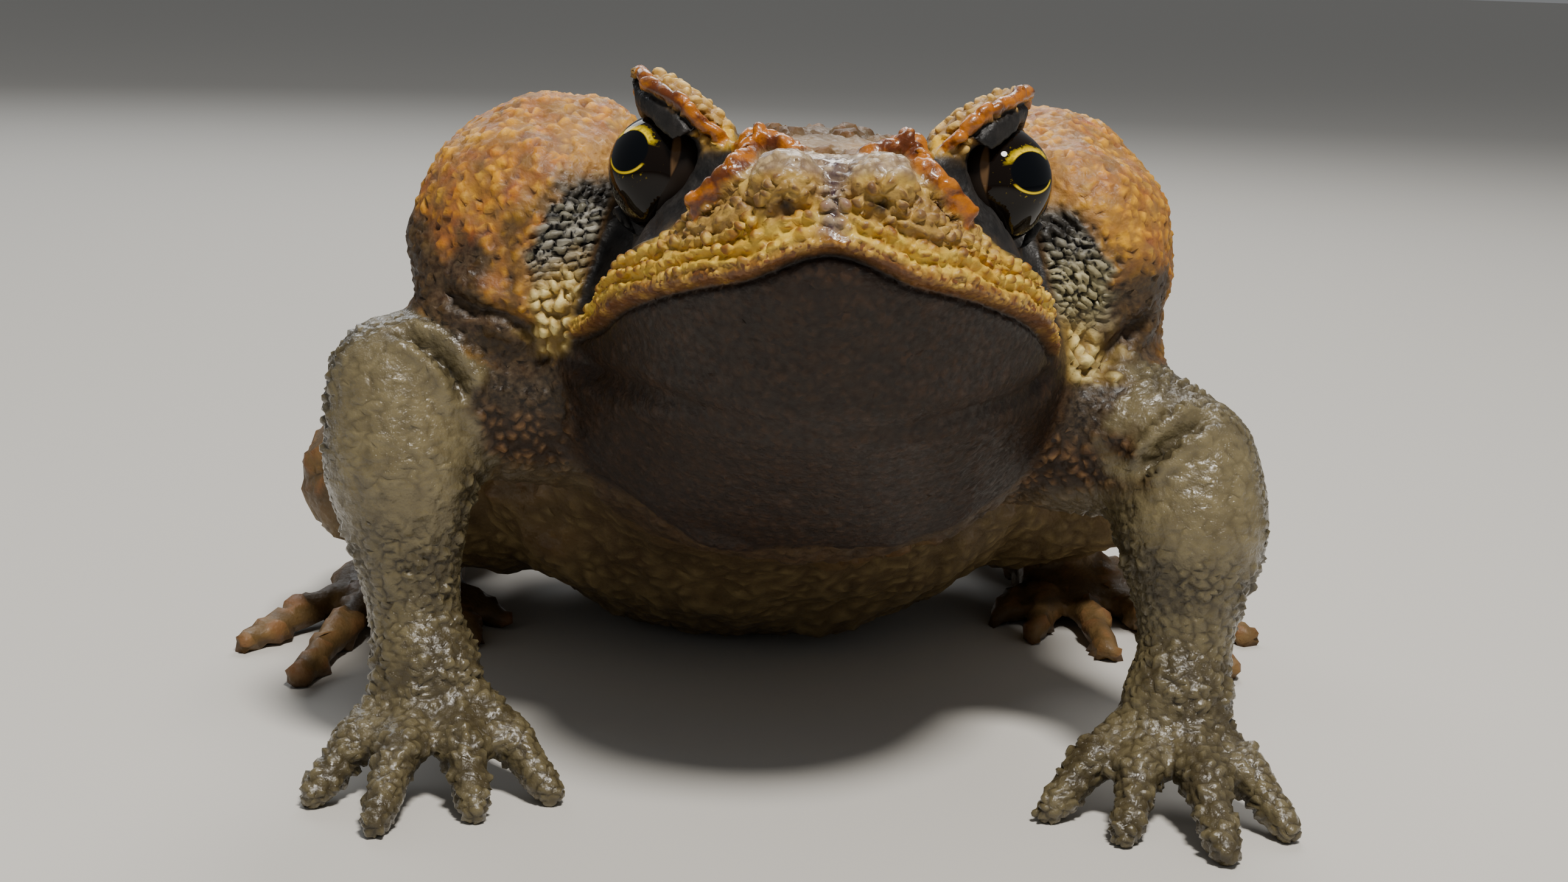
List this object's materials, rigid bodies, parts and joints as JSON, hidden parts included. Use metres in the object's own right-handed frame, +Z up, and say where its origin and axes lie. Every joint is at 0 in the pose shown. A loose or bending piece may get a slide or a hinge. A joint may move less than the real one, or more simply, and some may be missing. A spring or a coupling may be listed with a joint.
{
  "type": "cane toad",
  "caption": "Still, life-size cane toad sitting with its head raised to the viewer, forelimbs upright, hind legs folded and large glands behind the eyes.",
  "frame": {"origin": "on the floor, under the middle of the bounding box", "axes": "+Z up; the head faces -Y; the toad's own left side is +X; the body behind the head is turned a few degrees about +Z"},
  "size_m": [0.1756, 0.1752, 0.1004],
  "materials": {
    "face_skin": "warty skin, satin with a wet sheen",
    "throat_skin": "fine-grained dull skin with dark specks",
    "back_skin": "dry warty skin, matte",
    "gland_skin": "pitted satin skin",
    "forelimb_skin": "wet mud over wrinkled skin",
    "hindlimb_skin": "dry warty skin, matte",
    "eye": "clear wet cornea over a dark iris with gold arcs"
  },
  "bodies": {
    "root": {"head": "face_skin", "lower_jaw": "throat_skin", "trunk": "back_skin", "eye_left": "eye", "eye_right": "eye", "eardrum_left": "face_skin", "eardrum_right": "face_skin", "gland_left": "gland_skin", "gland_right": "gland_skin", "upper_arm_left": "forelimb_skin", "upper_arm_right": "forelimb_skin", "forearm_left": "forelimb_skin", "forearm_right": "forelimb_skin", "hand_left": "forelimb_skin", "hand_right": "forelimb_skin", "finger_inner_left": "forelimb_skin", "finger_inner_right": "forelimb_skin", "finger_second_left": "forelimb_skin", "finger_second_right": "forelimb_skin", "finger_third_left": "forelimb_skin", "finger_third_right": "forelimb_skin", "finger_outer_left": "forelimb_skin", "finger_outer_right": "forelimb_skin", "thigh_left": "hindlimb_skin", "thigh_right": "hindlimb_skin", "shank_left": "hindlimb_skin", "shank_right": "hindlimb_skin", "foot_left": "hindlimb_skin", "foot_right": "hindlimb_skin", "toe_first_left": "hindlimb_skin", "toe_first_right": "hindlimb_skin", "toe_second_left": "hindlimb_skin", "toe_second_right": "hindlimb_skin", "toe_third_left": "hindlimb_skin", "toe_third_right": "hindlimb_skin", "toe_fourth_left": "hindlimb_skin", "toe_fourth_right": "hindlimb_skin", "toe_fifth_left": "hindlimb_skin", "toe_fifth_right": "hindlimb_skin"}
  },
  "joints": []
}
